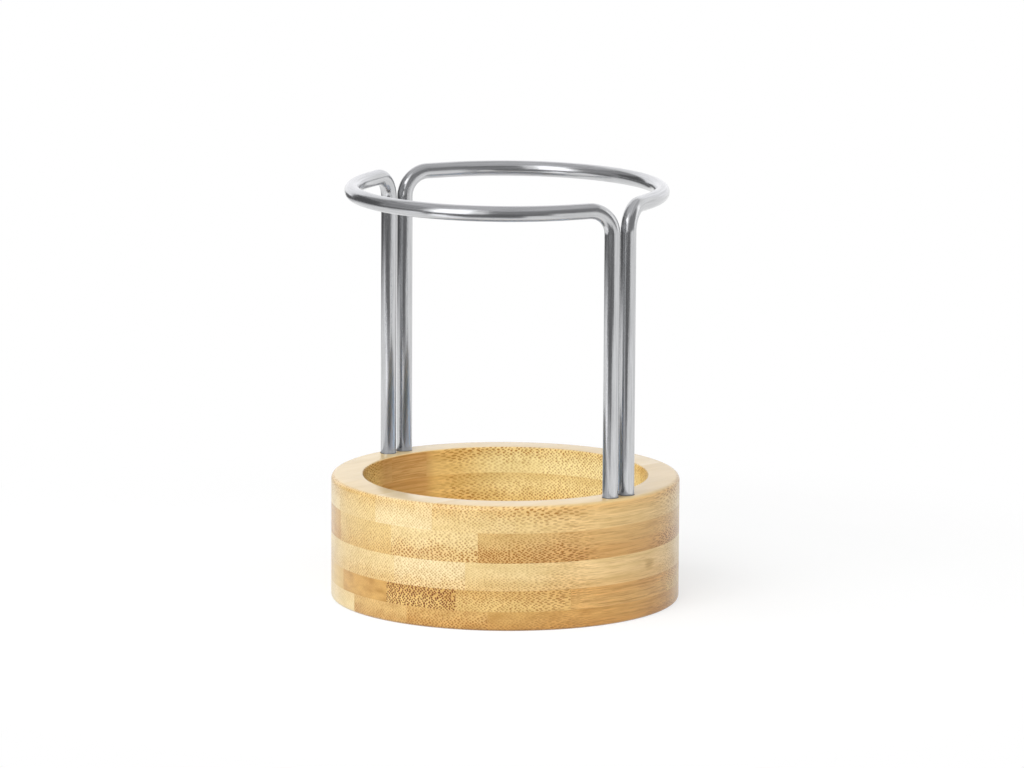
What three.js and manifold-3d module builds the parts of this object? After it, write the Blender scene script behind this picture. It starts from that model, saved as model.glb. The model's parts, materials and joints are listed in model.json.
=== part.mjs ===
import * as THREE from "three";
import { mergeVertices, toCreasedNormals } from "three/addons/utils/BufferGeometryUtils.js";
import Module from "manifold-3d";

// Pen holder: a turned cup of laminated bamboo that carries a ring of two bent steel rods.
// Millimetres, +Z up, origin at the centre of the underside. The rods' legs stand in two pairs,
// one at each end of the X axis, and the bamboo's fibres run along Y.

// Turned cup
const CUP_RADIUS = 42.5;
const WALL_THICKNESS = 7.8;
const FLOOR_THICKNESS = 8.3;
const RIM_EDGE_ROUND = 1.2;
const POCKET_EDGE_ROUND = 0.4;
const POCKET_FLOOR_FILLET = 2;
const FOOT_EDGE_ROUND = 0.8;

// Plies that the cup's block is glued from, each of strips side by side along X. The first strip is
// the one at -X. The first and the last have their own widths, and the others share what is left.
const FOOT_PLY = { thickness: 4.7, strips: 5, firstStrip: 14.5, lastStrip: 15 };
const FLOOR_PLY = { thickness: 5.1, strips: 6, firstStrip: 9, lastStrip: 3.2 };
const LOWER_WALL_PLY = { thickness: 6.7, strips: 5, firstStrip: 12.2, lastStrip: 19.4 };
const UPPER_WALL_PLY = { thickness: 7.3, strips: 4, firstStrip: 25.5, lastStrip: 16.9 };
const RIM_PLY = { thickness: 6.5, strips: 6, firstStrip: WALL_THICKNESS + 0.5, lastStrip: 10.3 };

// Bent rods
const ROD_DIAMETER = 3.8;
const RING_HEIGHT = 100;
const BEND_RADIUS = 6;
const STRAIGHT_END = 4.7;
const LEG_SPACING = 5.4;
const LEG_OUTSET = 0.4;
const LEG_HOLE_DEPTH = 18;
const LEG_CLEARANCE = 0.15;

// How far the glued block stands proud of the cup before it is turned
const BLANK_ALLOWANCE = 2;

// Fineness of the round surfaces
const CUP_SEGMENTS = 96;
const EDGE_STEPS = 2;
const ROD_SIDES = 20;
const BEND_STEPS = 7;
const RING_STEPS = 36;

// Colours
const BAMBOO_TONES = { pale: 0xe9d3a0, honey: 0xddba7c, amber: 0xcfa163, brown: 0xb98850 };
const STEEL_COLOUR = 0xc6c8cc;

// What follows from the driving sizes
const plies = [
  { name: "foot_ply", ...FOOT_PLY, tones: "pale pale honey honey amber" },
  { name: "floor_ply", ...FLOOR_PLY, tones: "honey pale amber brown honey amber" },
  { name: "lower_wall_ply", ...LOWER_WALL_PLY, tones: "honey pale pale pale honey" },
  { name: "upper_wall_ply", ...UPPER_WALL_PLY, tones: "brown honey pale amber" },
  { name: "rim_ply", ...RIM_PLY, tones: "amber pale honey pale honey honey" },
];
const cupHeight = plies.reduce((height, ply) => height + ply.thickness, 0);
const pocketRadius = CUP_RADIUS - WALL_THICKNESS;
const rodRadius = ROD_DIAMETER / 2;
const legHoleRadius = rodRadius + LEG_CLEARANCE;
const legHoleFloor = cupHeight - LEG_HOLE_DEPTH;
const legCircleRadius = CUP_RADIUS - WALL_THICKNESS / 2 + LEG_OUTSET;
const legX = Math.sqrt(legCircleRadius ** 2 - (LEG_SPACING / 2) ** 2);
// The straight end and the bend lie on the tangent that runs from the ring to the leg.
const tangentLength = STRAIGHT_END + BEND_RADIUS;
const ringRadius = Math.sqrt(legCircleRadius ** 2 - tangentLength ** 2);

const wasm = await Module();
wasm.setup();

// A closed geometry as a solid that can be joined and cut.
function solidOf(geometry) {
  const bare = geometry.clone();
  bare.deleteAttribute("normal");
  bare.deleteAttribute("uv");
  const merged = mergeVertices(bare);
  const corners = merged.index.array;
  const triVerts = [];
  for (let i = 0; i < corners.length; i += 3) {
    const [a, b, c] = [corners[i], corners[i + 1], corners[i + 2]];
    if (a !== b && b !== c && c !== a) triVerts.push(a, b, c);
  }
  const vertProperties = merged.attributes.position.array;
  return new wasm.Manifold(
    new wasm.Mesh({ numProp: 3, vertProperties, triVerts: new Uint32Array(triVerts) }),
  );
}

// The separate bodies of a cut solid, each as a geometry of its own.
function bodiesOf(solid) {
  const { vertProperties, triVerts } = solid.getMesh();
  const parent = Array.from({ length: vertProperties.length / 3 }, (_, vertex) => vertex);
  const rootOf = (vertex) => {
    while (parent[vertex] !== vertex) vertex = parent[vertex];
    return vertex;
  };
  for (let i = 0; i < triVerts.length; i += 3) {
    const root = rootOf(triVerts[i]);
    parent[rootOf(triVerts[i + 1])] = root;
    parent[rootOf(triVerts[i + 2])] = root;
  }
  const bodies = new Map();
  for (let i = 0; i < triVerts.length; i += 3) {
    const root = rootOf(triVerts[i]);
    if (!bodies.has(root)) bodies.set(root, []);
    bodies.get(root).push(...triVerts.slice(i, i + 3));
  }
  return [...bodies.values()].map((corners) => {
    const points = corners.flatMap((v) => [...vertProperties.slice(3 * v, 3 * v + 3)]);
    const geometry = new THREE.BufferGeometry();
    geometry.setAttribute("position", new THREE.Float32BufferAttribute(points, 3));
    return geometry;
  });
}

function boxSolid(low, high) {
  const size = high.clone().sub(low);
  const centre = low.clone().add(high).multiplyScalar(0.5);
  return solidOf(new THREE.BoxGeometry(...size).translate(...centre));
}

// Half of the cup's cross-section, from the middle of the underside to the middle of the floor.
function cupProfile() {
  const outline = new THREE.Path();
  const quarter = Math.PI / 2;
  outline.moveTo(0, 0);
  outline.lineTo(CUP_RADIUS - FOOT_EDGE_ROUND, 0);
  outline.absarc(CUP_RADIUS - FOOT_EDGE_ROUND, FOOT_EDGE_ROUND, FOOT_EDGE_ROUND, -quarter, 0);
  outline.absarc(CUP_RADIUS - RIM_EDGE_ROUND, cupHeight - RIM_EDGE_ROUND, RIM_EDGE_ROUND, 0, quarter);
  outline.absarc(
    pocketRadius + POCKET_EDGE_ROUND,
    cupHeight - POCKET_EDGE_ROUND,
    POCKET_EDGE_ROUND,
    quarter,
    2 * quarter,
  );
  outline.absarc(
    pocketRadius - POCKET_FLOOR_FILLET,
    FLOOR_THICKNESS + POCKET_FLOOR_FILLET,
    POCKET_FLOOR_FILLET,
    0,
    -quarter,
    true,
  );
  outline.lineTo(0, FLOOR_THICKNESS);
  return outline.getPoints(EDGE_STEPS);
}

// The turned block, with the four blind holes that the rods' legs are glued into.
function turnedCup() {
  const turned = new THREE.LatheGeometry(cupProfile(), CUP_SEGMENTS).rotateX(Math.PI / 2);
  let cup = solidOf(turned);
  const drillLength = LEG_HOLE_DEPTH + RIM_EDGE_ROUND;
  for (const x of [-legX, legX]) {
    for (const y of [-LEG_SPACING / 2, LEG_SPACING / 2]) {
      const drill = new THREE.CylinderGeometry(legHoleRadius, legHoleRadius, drillLength, ROD_SIDES)
        .rotateX(Math.PI / 2)
        .translate(x, y, legHoleFloor + drillLength / 2);
      cup = cup.subtract(solidOf(drill));
    }
  }
  return cup;
}

// The X of each glue line in a ply.
function glueJoints(ply) {
  const firstJoint = ply.firstStrip - CUP_RADIUS;
  const lastJoint = CUP_RADIUS - ply.lastStrip;
  const between = ply.strips - 2;
  const stripWidth = (lastJoint - firstJoint) / between;
  return Array.from({ length: between + 1 }, (_, i) => firstJoint + i * stripWidth);
}

function bambooMesh(name, geometry, tone) {
  const material = new THREE.MeshStandardMaterial({ color: tone, roughness: 0.45, metalness: 0 });
  const mesh = new THREE.Mesh(toCreasedNormals(geometry, Math.PI / 6), material);
  mesh.name = name;
  return mesh;
}

// One ply of the cup: a mesh for each strip, or for each piece that the pocket leaves of it.
function plyGroup(ply, bottom, cup) {
  const group = new THREE.Group();
  const beyond = CUP_RADIUS + BLANK_ALLOWANCE;
  const top = bottom + ply.thickness;
  const low = ply === plies.at(0) ? bottom - BLANK_ALLOWANCE : bottom;
  const high = ply === plies.at(-1) ? top + BLANK_ALLOWANCE : top;
  const edges = [-beyond, ...glueJoints(ply), beyond];
  const tones = ply.tones.split(" ");
  for (let i = 0; i + 1 < edges.length; i++) {
    const blank = boxSolid(
      new THREE.Vector3(edges[i], -beyond, low),
      new THREE.Vector3(edges[i + 1], beyond, high),
    );
    const name = `${ply.name}_strip_${i + 1}`;
    const tone = BAMBOO_TONES[tones[i % tones.length]];
    const pieces = bodiesOf(cup.intersect(blank));
    for (const piece of pieces) {
      piece.computeBoundingBox();
      const side = piece.boundingBox.max.y < 0 ? "_front" : "_back";
      group.add(bambooMesh(pieces.length > 1 ? name + side : name, piece, tone));
    }
  }
  return group;
}

// An arc in space: it starts at centre + start and turns towards centre + side.
class SpaceArc extends THREE.Curve {
  constructor(centre, start, side, angle) {
    super();
    Object.assign(this, { centre, start, side, angle });
  }
  getPoint(t, target = new THREE.Vector3()) {
    return target
      .copy(this.centre)
      .addScaledVector(this.start, Math.cos(t * this.angle))
      .addScaledVector(this.side, Math.sin(t * this.angle));
  }
}

// Stretches end to end, each sampled in its own number of steps, so that bends get most of them.
class SteppedPath extends THREE.Curve {
  constructor(stretches) {
    super();
    this.stretches = stretches;
    this.steps = stretches.reduce((sum, stretch) => sum + stretch.steps, 0);
  }
  getPoint(t, target = new THREE.Vector3()) {
    let step = t * this.steps;
    let index = 0;
    while (index + 1 < this.stretches.length && step > this.stretches[index].steps) {
      step -= this.stretches[index].steps;
      index++;
    }
    const { curve, steps } = this.stretches[index];
    return curve.getPoint(step / steps, target);
  }
  getUtoTmapping(u) {
    return u;
  }
}

// The centre line of the rod in front: leg, bend, straight end, front of the ring, and back down.
function rodPath() {
  const up = new THREE.Vector3(0, 0, 1);
  const legAngle = Math.asin(LEG_SPACING / 2 / legCircleRadius);
  const ringEndAngle = legAngle + Math.acos(ringRadius / legCircleRadius);
  const ringCentre = new THREE.Vector3(0, 0, RING_HEIGHT);
  // Where the ring ends at +X, and the direction from the leg towards it.
  const ringEnd = new THREE.Vector3(Math.cos(ringEndAngle), -Math.sin(ringEndAngle), 0);
  const inwards = new THREE.Vector3(-Math.sin(ringEndAngle), -Math.cos(ringEndAngle), 0);
  const ringPoint = ringEnd.clone().multiplyScalar(ringRadius).add(ringCentre);
  const bendTop = ringPoint.clone().addScaledVector(inwards, -STRAIGHT_END);
  const bendCentre = bendTop.clone().addScaledVector(up, -BEND_RADIUS);
  const bendFoot = bendCentre.clone().addScaledVector(inwards, -BEND_RADIUS);
  const legEnd = bendFoot.clone().setZ(legHoleFloor);
  const mirrored = (v) => new THREE.Vector3(-v.x, v.y, v.z);
  const bendUp = up.clone().multiplyScalar(BEND_RADIUS);
  const bendOut = inwards.clone().multiplyScalar(-BEND_RADIUS);
  const ringArc = new SpaceArc(
    ringCentre,
    ringEnd.clone().multiplyScalar(ringRadius),
    inwards.clone().multiplyScalar(ringRadius),
    Math.PI - 2 * ringEndAngle,
  );
  return new SteppedPath([
    { curve: new THREE.LineCurve3(legEnd, bendFoot), steps: 1 },
    { curve: new SpaceArc(bendCentre, bendOut, bendUp, Math.PI / 2), steps: BEND_STEPS },
    { curve: new THREE.LineCurve3(bendTop, ringPoint), steps: 1 },
    { curve: ringArc, steps: RING_STEPS },
    { curve: new THREE.LineCurve3(mirrored(ringPoint), mirrored(bendTop)), steps: 1 },
    { curve: new SpaceArc(mirrored(bendCentre), bendUp, mirrored(bendOut), Math.PI / 2), steps: BEND_STEPS },
    { curve: new THREE.LineCurve3(mirrored(bendFoot), mirrored(legEnd)), steps: 1 },
  ]);
}

function rodMesh(name) {
  const section = new THREE.Shape().absarc(0, 0, rodRadius, 0, 2 * Math.PI);
  const path = rodPath();
  const geometry = new THREE.ExtrudeGeometry(section, {
    steps: path.steps,
    curveSegments: ROD_SIDES / 2,
    extrudePath: path,
  });
  const material = new THREE.MeshStandardMaterial({ color: STEEL_COLOUR, roughness: 0.22, metalness: 1 });
  const mesh = new THREE.Mesh(toCreasedNormals(geometry, Math.PI / 6), material);
  mesh.name = name;
  return mesh;
}

const penHolder = new THREE.Group();

const cup = turnedCup();
let plyBottom = 0;
for (const ply of plies) {
  penHolder.add(plyGroup(ply, plyBottom, cup));
  plyBottom += ply.thickness;
}

const frontRod = rodMesh("front_rod");
const backRod = rodMesh("back_rod");
backRod.rotation.z = Math.PI;
penHolder.add(frontRod, backRod);

export default penHolder;
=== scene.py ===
import json
import math
import random

import bmesh
import bpy
from bpy.props import EnumProperty, FloatProperty, FloatVectorProperty, IntProperty, PointerProperty
from mathutils import Matrix, Vector


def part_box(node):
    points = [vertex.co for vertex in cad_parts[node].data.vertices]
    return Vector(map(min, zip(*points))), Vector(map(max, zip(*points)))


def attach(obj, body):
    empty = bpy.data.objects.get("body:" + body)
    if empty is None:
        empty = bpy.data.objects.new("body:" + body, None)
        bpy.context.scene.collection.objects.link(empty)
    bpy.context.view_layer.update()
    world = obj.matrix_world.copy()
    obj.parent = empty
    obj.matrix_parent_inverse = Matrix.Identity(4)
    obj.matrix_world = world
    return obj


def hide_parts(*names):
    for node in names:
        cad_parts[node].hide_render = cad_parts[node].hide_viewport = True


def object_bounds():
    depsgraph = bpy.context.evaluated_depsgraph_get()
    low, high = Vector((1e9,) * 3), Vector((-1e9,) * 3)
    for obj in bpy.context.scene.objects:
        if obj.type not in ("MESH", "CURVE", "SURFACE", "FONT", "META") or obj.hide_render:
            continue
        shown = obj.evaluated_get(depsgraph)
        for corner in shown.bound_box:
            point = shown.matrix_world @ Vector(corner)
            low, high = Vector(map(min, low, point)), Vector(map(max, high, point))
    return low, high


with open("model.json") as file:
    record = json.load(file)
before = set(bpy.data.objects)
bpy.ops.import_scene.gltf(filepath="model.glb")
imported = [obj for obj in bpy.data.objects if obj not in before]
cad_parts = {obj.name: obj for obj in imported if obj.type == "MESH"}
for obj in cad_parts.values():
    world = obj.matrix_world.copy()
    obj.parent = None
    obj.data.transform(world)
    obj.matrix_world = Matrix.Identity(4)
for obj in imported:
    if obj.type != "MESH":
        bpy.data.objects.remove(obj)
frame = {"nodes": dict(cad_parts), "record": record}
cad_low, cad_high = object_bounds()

bl_info = {
    "name": "Pen Holder",
    "version": (1, 0, 0),
    "blender": (4, 5, 0),
    "location": "View3D > Sidebar > Pen Holder",
    "description": "A turned cup of laminated bamboo with a ring of two bent steel rods",
    "category": "Object",
}

MM = 0.001
BODY = "root"
PLIES = ("foot_ply", "floor_ply", "lower_wall_ply", "upper_wall_ply", "rim_ply")
SLOTS = {part["node"]: part["material_slot"] for part in frame["record"]["subparts"]}
ROD_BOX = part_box("front_rod")

# Tolerances: for points found by their place, for a strip's end that is the cup's own surface, for points
# merged into one, for points that lie on a cut, and for the leg's last points, where the bend starts
AT_PLACE = 0.02 * MM
AT_SURFACE = 0.05 * MM
MERGED = 0.002 * MM
ON_CUT = 0.0005 * MM
AT_BEND = 0.0001 * MM
SMOOTH_BELOW = math.radians(32)

# How each strip looks, from -X to +X: its tone and how deep that is (1 is the tone itself), which side
# of the strip is the skin side, the spacing of the bundles in mm, and how strongly the bundles show on
# the skin side and on the other side, and the lengthwise streaks and the blotches.
GRAIN = {
    "foot_ply": (
        ("pale", 1.00, "top", 0.80, 0.50, 0.35, 0.30, 0.30),
        ("pale", 0.95, "top", 0.80, 0.45, 0.35, 0.30, 0.40),
        ("amber", 0.85, "bottom", 0.88, 1.10, 0.65, 0.35, 0.80),
        ("amber", 0.95, "bottom", 0.88, 1.90, 1.10, 0.45, 0.80),
        ("amber", 1.06, "bottom", 0.76, 1.20, 0.60, 0.90, 0.55),
    ),
    "floor_ply": (
        ("honey", 1.00, "top", 0.80, 0.60, 0.30, 0.50, 0.30),
        ("honey", 1.20, "top", 0.75, 0.30, 0.20, 0.30, 0.40),
        ("amber", 1.12, "top", 0.80, 0.35, 0.25, 0.35, 1.20),
        ("honey", 1.28, "top", 0.86, 3.30, 2.60, 0.60, 0.90),
        ("honey", 1.14, "top", 0.77, 1.65, 1.20, 0.50, 0.40),
        ("amber", 0.90, "top", 0.72, 0.85, 0.50, 1.00, 0.55),
    ),
    "lower_wall_ply": (
        ("honey", 1.05, "bottom", 0.75, 0.60, 0.40, 0.50, 0.30),
        ("pale", 1.05, "bottom", 0.80, 0.75, 0.50, 0.30, 0.35),
        ("pale", 1.00, "bottom", 0.90, 1.00, 0.65, 0.30, 0.35),
        ("pale", 0.82, "bottom", 0.90, 1.25, 0.70, 0.30, 0.35),
        ("honey", 0.83, "bottom", 0.74, 0.85, 0.45, 0.55, 0.35),
    ),
    "upper_wall_ply": (
        ("amber", 0.96, "bottom", 0.88, 0.95, 0.62, 0.50, 0.35),
        ("honey", 0.99, "bottom", 0.95, 1.05, 0.75, 0.35, 0.30),
        ("pale", 1.03, "bottom", 1.00, 1.90, 0.70, 0.40, 0.35),
        ("amber", 0.80, "bottom", 0.74, 2.15, 0.65, 0.60, 0.40),
    ),
    "rim_ply": (
        ("pale", 1.05, "top", 0.85, 0.80, 0.45, 0.80, 0.35),
        ("pale", 0.97, "top", 0.92, 1.15, 0.42, 0.45, 0.35),
        ("pale", 1.12, "top", 0.93, 0.98, 0.70, 0.35, 0.30),
        ("pale", 0.86, "top", 0.90, 1.00, 0.60, 0.35, 0.35),
        ("honey", 0.85, "top", 0.88, 1.20, 0.70, 0.40, 0.35),
        ("honey", 0.89, "top", 1.06, 1.30, 0.50, 0.70, 0.35),
    ),
}

# Where a culm node's scar shows in a strip's side, in mm. The other strips have theirs far below the cup.
KNOTS = {("lower_wall_ply", 5): (41.7, 8.1, 13.0), ("upper_wall_ply", 2): (-38.5, 17.0, 22.0)}
NO_KNOT = (0, 0, -100)

# Painted light: what a strip's colour is multiplied by in the pocket, which makes the pocket lighter and
# paler than its lamps light it
PAINTED_POCKET_LIGHT = {
    ("upper_wall_ply", 1): (1.34, 1.84, 2.90, 1),
    ("upper_wall_ply", 2): (1.16, 1.36, 1.66, 1),
    ("rim_ply", 2): (1.05, 1.15, 1.17, 1),
    ("rim_ply", 3): (1.14, 1.32, 1.55, 1),
}
# The painted light in the pocket for all other strips
USUAL_PAINTED_POCKET_LIGHT = (1.07, 1.18, 1.27, 1)


# Settings

def in_mm(name, default, description):
    """A length, given in mm."""
    return FloatProperty(name=name, description=description, default=default * MM, unit="LENGTH")


def degrees(name, default, description):
    """An angle, given in degrees."""
    return FloatProperty(name=name, description=description, default=math.radians(default), subtype="ANGLE")


def facets(name, default, least, description):
    """A number of facets or steps."""
    return IntProperty(name=name, description=description, default=default, min=least)


def tint(name, default, description):
    """A colour."""
    return FloatVectorProperty(
        name=name, description=description, default=default, subtype="COLOR", min=0, max=1
    )


class PENHOLDER_PG_cup(bpy.types.PropertyGroup):
    """Sizes of the turned bamboo cup"""

    wall: in_mm("Wall", 7.8, "Thickness of the wall")
    floor: in_mm("Floor", 8.3, "Thickness of the floor")
    height: in_mm("Height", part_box("rim_ply_strip_1")[1].z / MM, "Height of the rim above the underside")
    rim_round: in_mm("Rim Round", 1.2, "Radius of the rim's outer edge")
    pocket_round: in_mm("Pocket Round", 0.4, "Radius of the rim's inner edge")
    fillet: in_mm("Fillet", 2, "Radius where the wall meets the floor")
    foot_round: in_mm("Foot Round", 0.8, "Radius of the lower outer edge")
    segments: facets("Segments", 256, 32, "Facets round the cup")
    round_steps: facets("Round Steps", 6, 1, "Facets in each rounded edge")


class PENHOLDER_PG_rods(bpy.types.PropertyGroup):
    """Sizes of the bent steel rods"""

    diameter: in_mm("Diameter", 3.8, "Diameter of the wire")
    spacing: in_mm("Leg Spacing", 5.4, "Distance between the legs of a pair")
    bend: in_mm("Bend", 6, "Radius of the bend's centre line")
    straight: in_mm("Straight End", 4.7, "Straight stretch between bend and ring")
    clearance: in_mm("Clearance", 0.15, "Gap between a leg and its hole")
    chamfer: in_mm("Chamfer", 0.3, "Chamfer at the ends of the legs")
    sides: facets("Sides", 56, 12, "Facets round the wire")
    bend_steps: facets("Bend Steps", 20, 4, "Steps in each bend")
    ring_steps: facets("Ring Steps", 96, 8, "Steps in each half of the ring")


class PENHOLDER_PG_bamboo(bpy.types.PropertyGroup):
    """Colours of the bamboo"""

    pale: tint("Pale", (0.815, 0.65, 0.33), "Pale strips")
    honey: tint("Honey", (0.765, 0.568, 0.24), "Honey strips")
    amber: tint("Amber", (0.63, 0.387, 0.120), "Amber strips")
    bundle: tint("Bundle", (0.40, 0.185, 0.04), "Cut ends of the fibre bundles")


class PENHOLDER_PG_steel(bpy.types.PropertyGroup):
    """Finish of the steel"""

    colour: tint("Colour", (0.57, 0.575, 0.585), "Colour of the steel")
    roughness: FloatProperty(
        name="Roughness", description="Roughness of the drawn wire", default=0.2, min=0, max=1
    )


class PENHOLDER_PG_studio(bpy.types.PropertyGroup):
    """Camera and lights"""

    azimuth: degrees("Azimuth", 45.85, "Turn of the camera from the -Y side")
    elevation: degrees("Elevation", 10.232, "Camera's height angle")
    roll: degrees("Roll", 0.315, "Camera's tilt")
    distance: in_mm("Distance", 1665.7, "From the camera to the middle of the holder")
    aim_height: in_mm("Aim Height", 50, "Height that the camera turns about")
    lens: FloatProperty(name="Lens", description="Focal length in mm", default=240.5)
    shift_x: FloatProperty(name="Shift X", description="Sideways shift of the frame", default=0.00595)
    shift_y: FloatProperty(name="Shift Y", description="Upward shift of the frame", default=0.0095)
    key: FloatProperty(name="Key", description="Power of the soft box on the left", default=7.5, unit="POWER")
    ambient: FloatProperty(name="Ambient", description="Light from all round", default=0.31, min=0)


SETTINGS = {
    "pen_holder_cup": PENHOLDER_PG_cup,
    "pen_holder_rods": PENHOLDER_PG_rods,
    "pen_holder_bamboo": PENHOLDER_PG_bamboo,
    "pen_holder_steel": PENHOLDER_PG_steel,
    "pen_holder_studio": PENHOLDER_PG_studio,
}


# Modelling

def pick(*pieces):
    """Selects only these objects, and makes the first one active."""
    bpy.ops.object.select_all(action="DESELECT")
    for piece in pieces:
        piece.select_set(True)
    bpy.context.view_layer.objects.active = pieces[0]


def open_mesh(piece):
    """Enters edit mode on one piece with nothing selected."""
    pick(piece)
    bpy.ops.object.mode_set(mode="EDIT")
    bpy.ops.mesh.select_mode(type="VERT")
    bpy.ops.mesh.select_all(action="DESELECT")


def close_mesh():
    """Leaves edit mode."""
    bpy.ops.object.mode_set(mode="OBJECT")


def select_where(piece, kind, test):
    """In edit mode, selects just the faces, edges or vertices whose vertices all pass the test."""
    bpy.ops.mesh.select_mode(type={"verts": "VERT", "edges": "EDGE", "faces": "FACE"}[kind])
    bpy.ops.mesh.select_all(action="DESELECT")
    mesh = bmesh.from_edit_mesh(piece.data)
    for element in getattr(mesh, kind):
        points = [element] if kind == "verts" else element.verts
        if all(test(vertex.co) for vertex in points):
            element.select_set(True)
    bmesh.update_edit_mesh(piece.data)


def circle_test(radius, height):
    """A test for points on a level circle round the Z axis."""
    return lambda p: abs(math.hypot(p.x, p.y) - radius) < AT_PLACE and abs(p.z - height) < AT_PLACE


def finish_piece(piece, material, node):
    """Cleans the mesh, puts its place in it, and dresses it as what stands for a solid of the frame."""
    open_mesh(piece)
    bpy.ops.mesh.select_all(action="SELECT")
    bpy.ops.mesh.remove_doubles(threshold=MERGED)
    bpy.ops.mesh.normals_make_consistent(inside=False)
    close_mesh()
    bpy.ops.object.transform_apply(location=True, rotation=True, scale=True)
    bpy.ops.object.shade_smooth_by_angle(angle=SMOOTH_BELOW)
    piece.data.materials.clear()
    piece.data.materials.append(material)
    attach(piece, BODY)
    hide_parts(node)


def leg_places(rods):
    """Where the four legs stand, from the outer reach of the rods."""
    x = ROD_BOX[1].x - rods.diameter / 2
    return [(side_x * x, side_y * rods.spacing / 2) for side_x in (-1, 1) for side_y in (-1, 1)]


def turned_cup(cup, rods):
    """The whole cup in one piece, as it comes off the lathe and the drill."""
    radius = cad_high.x
    bpy.ops.object.select_all(action="DESELECT")
    bpy.ops.mesh.primitive_cylinder_add(
        vertices=cup.segments, radius=radius, depth=cup.height, location=(0, 0, cup.height / 2)
    )
    piece = bpy.context.object
    piece.name = "turned_cup"
    bpy.ops.object.transform_apply(location=True, rotation=True, scale=True)
    open_mesh(piece)
    select_where(piece, "faces", lambda p: abs(p.z - cup.height) < AT_PLACE)
    bpy.ops.mesh.inset(thickness=cup.wall, depth=0)
    bpy.ops.mesh.extrude_region_move(TRANSFORM_OT_translate={"value": (0, 0, cup.floor - cup.height)})
    pocket = radius - cup.wall
    for ring_radius, height, width in (
        (radius, 0, cup.foot_round),
        (radius, cup.height, cup.rim_round),
        (pocket, cup.height, cup.pocket_round),
        (pocket, cup.floor, cup.fillet),
    ):
        select_where(piece, "edges", circle_test(ring_radius, height))
        bpy.ops.mesh.bevel(offset_type="OFFSET", offset=width, segments=cup.round_steps, affect="EDGES")
    close_mesh()
    drills = []
    hole_floor = ROD_BOX[0].z
    depth = cup.height - hole_floor + cup.rim_round
    for x, y in leg_places(rods):
        bpy.ops.mesh.primitive_cylinder_add(
            vertices=rods.sides,
            radius=rods.diameter / 2 + rods.clearance,
            depth=depth,
            location=(x, y, hole_floor + depth / 2),
        )
        drills.append(bpy.context.object)
    pick(*drills)
    bpy.ops.object.join()
    drill = bpy.context.object
    pick(piece)
    drilling = piece.modifiers.new("Leg holes", "BOOLEAN")
    drilling.operation = "DIFFERENCE"
    drilling.solver = "EXACT"
    drilling.object = drill
    bpy.ops.object.modifier_apply(modifier=drilling.name)
    bpy.data.objects.remove(drill)
    return piece


def saw(place, direction, keep):
    """Cuts the open mesh by a plane, keeps the side above or below it and closes the cut."""
    bpy.ops.mesh.select_all(action="SELECT")
    bpy.ops.mesh.bisect(
        plane_co=place,
        plane_no=direction,
        use_fill=True,
        clear_inner=keep == "above",
        clear_outer=keep == "below",
        threshold=ON_CUT,
    )


def strip_piece(cup_piece, node):
    """The part of the turned cup that one strip of one ply gives."""
    low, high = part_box(node)
    pick(cup_piece)
    bpy.ops.object.duplicate()
    piece = bpy.context.object
    piece.name = "turned_" + node
    piece.data.name = piece.name
    open_mesh(piece)
    for axis, direction in ((0, (1, 0, 0)), (2, (0, 0, 1))):
        for limit, reach, keep in ((low, cad_low, "above"), (high, None, "below")):
            end = reach[axis] if reach else (cad_high.x if axis == 0 else cup_piece.dimensions.z)
            if abs(limit[axis] - end) > AT_SURFACE:
                saw(Vector(direction) * limit[axis], direction, keep)
    if node.endswith(("_front", "_back")):
        saw((0, 0, 0), (0, 1, 0), "below" if node.endswith("_front") else "above")
    close_mesh()
    return piece


def rod_line(rods):
    """Corners of the front rod's centre line, as named points and directions."""
    radius = rods.diameter / 2
    leg = Vector((ROD_BOX[1].x - radius, -rods.spacing / 2, 0))
    circle = leg.length
    tangent = rods.straight + rods.bend
    ring_radius = math.sqrt(circle**2 - tangent**2)
    ring_end = math.asin(-leg.y / circle) + math.acos(ring_radius / circle)
    outwards = Vector((math.cos(ring_end), -math.sin(ring_end), 0))
    inwards = Vector((-math.sin(ring_end), -math.cos(ring_end), 0))
    ring_height = ROD_BOX[1].z - radius
    return {
        "foot": leg + Vector((0, 0, ROD_BOX[0].z)),
        "ring_height": ring_height,
        "bend_height": ring_height - rods.bend,
        "outwards": outwards,
        "inwards": inwards,
        "ring_angle": math.pi - 2 * ring_end,
        "ring_radius": ring_radius,
    }


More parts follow.
